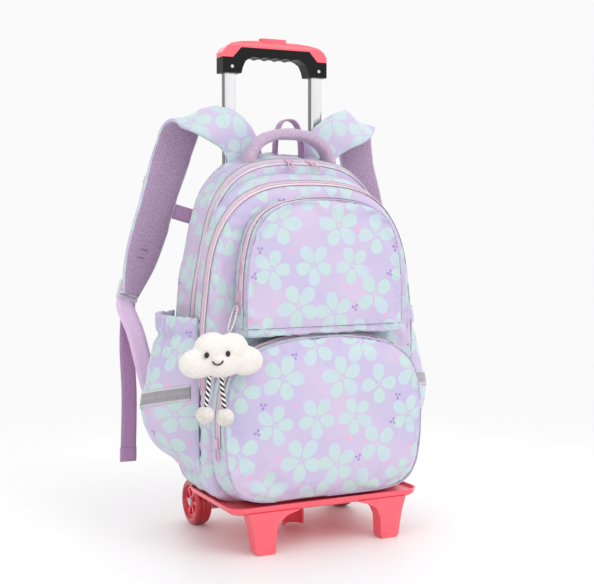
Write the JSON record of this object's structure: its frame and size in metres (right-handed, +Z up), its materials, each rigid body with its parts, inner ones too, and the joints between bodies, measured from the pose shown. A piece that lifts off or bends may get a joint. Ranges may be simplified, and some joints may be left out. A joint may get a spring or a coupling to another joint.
{
  "type": "wheeled backpack",
  "caption": "Child's soft zipped backpack on a moulded tray with front feet and rear wheels, a telescopic trolley handle, padded straps and a cloud charm.",
  "frame": {"origin": "on the ground, under the middle of the object's box", "axes": "+Z up, +Y from the front pockets to the straps and trolley, +X to the right seen from the front"},
  "size_m": [0.4102, 0.2504, 0.6395],
  "materials": {
    "print": "printed polyester, lilac with mint flowers",
    "zip_tape": "pale pink zip tape and teeth",
    "zip_pull": "pink moulded pull",
    "mesh": "purple air mesh over padding",
    "reflective": "grey reflective tape",
    "clear_plastic": "milky translucent plastic",
    "webbing": "woven polyester webbing",
    "heather": "heathered knit over padding",
    "tube": "satin extruded tube",
    "coral": "satin moulded plastic",
    "black_plastic": "satin moulded plastic",
    "steel": "plated steel",
    "tyre": "translucent soft red plastic",
    "plush": "short cream plush",
    "cord": "twisted black and white cord"
  },
  "bodies": {
    "bag": {"main_compartment": "print", "middle_compartment": "print", "upper_pocket": "print", "lower_pocket": "print", "main_zip": "zip_tape", "middle_zip": "zip_tape", "upper_zip": "zip_tape", "lower_zip": "zip_tape", "slider_main_left": "zip_pull", "slider_main_right": "zip_pull", "slider_middle": "zip_pull", "slider_upper_low": "zip_pull", "slider_upper_high": "zip_pull", "slider_lower": "zip_pull", "back_panel": "mesh", "side_pocket_left": "print", "side_pocket_right": "print", "reflective_strip_left": "reflective", "reflective_strip_right": "reflective", "shoulder_strap_left": "print", "strap_adjuster_left": "clear_plastic", "strap_webbing_left": "webbing", "strap_tail_left": "webbing", "chest_strap_left": "webbing", "chest_buckle_left": "clear_plastic", "shoulder_strap_right": "print", "strap_adjuster_right": "clear_plastic", "strap_webbing_right": "webbing", "strap_tail_right": "webbing", "chest_strap_right": "webbing", "chest_buckle_right": "clear_plastic", "carry_handle": "heather", "hang_loop": "webbing", "outer_tube_left": "tube", "outer_tube_right": "tube", "base_tray": "coral", "centre_stay": "coral", "tray_clip": "black_plastic", "axle_left": "steel", "axle_right": "steel", "charm_leg_left": "cord", "pompom_left": "plush", "charm_leg_right": "cord", "pompom_right": "plush", "charm_cloud": "plush", "charm_chain": "steel"},
    "middle_stage": {"middle_tube_left": "tube", "middle_tube_right": "tube"},
    "inner_stage": {"inner_tube_left": "tube", "inner_tube_right": "tube", "grip_core": "black_plastic", "grip_cover": "coral", "grip_screw_left": "steel", "grip_screw_right": "steel"},
    "release_button": {"release_button": "coral"},
    "wheel_left": {"tyre_left": "tyre", "wheel_hub_left": "coral"},
    "wheel_right": {"tyre_right": "tyre", "wheel_hub_right": "coral"}
  },
  "joints": [
    {"name": "middle_stage_slide", "type": "slide", "parent": "bag", "child": "middle_stage", "axis": [0, 0, 1], "range_m": [0, 0.2]},
    {"name": "inner_stage_slide", "type": "slide", "parent": "middle_stage", "child": "inner_stage", "axis": [0, 0, 1], "range_m": [-0.095, 0.105]},
    {"name": "release_button_press", "type": "slide", "parent": "inner_stage", "child": "release_button", "axis": [0, 0, -1], "range_m": [0, 0.003], "stiffness_N_per_m": 600, "springref_m": -0.001},
    {"name": "wheel_left_spin", "type": "hinge", "parent": "bag", "child": "wheel_left", "pos_m": [-0.10788, 0.07907, 0.03], "axis": [1, 0, 0], "continuous": true},
    {"name": "wheel_right_spin", "type": "hinge", "parent": "bag", "child": "wheel_right", "pos_m": [0.10712, 0.07907, 0.03], "axis": [1, 0, 0], "continuous": true}
  ]
}
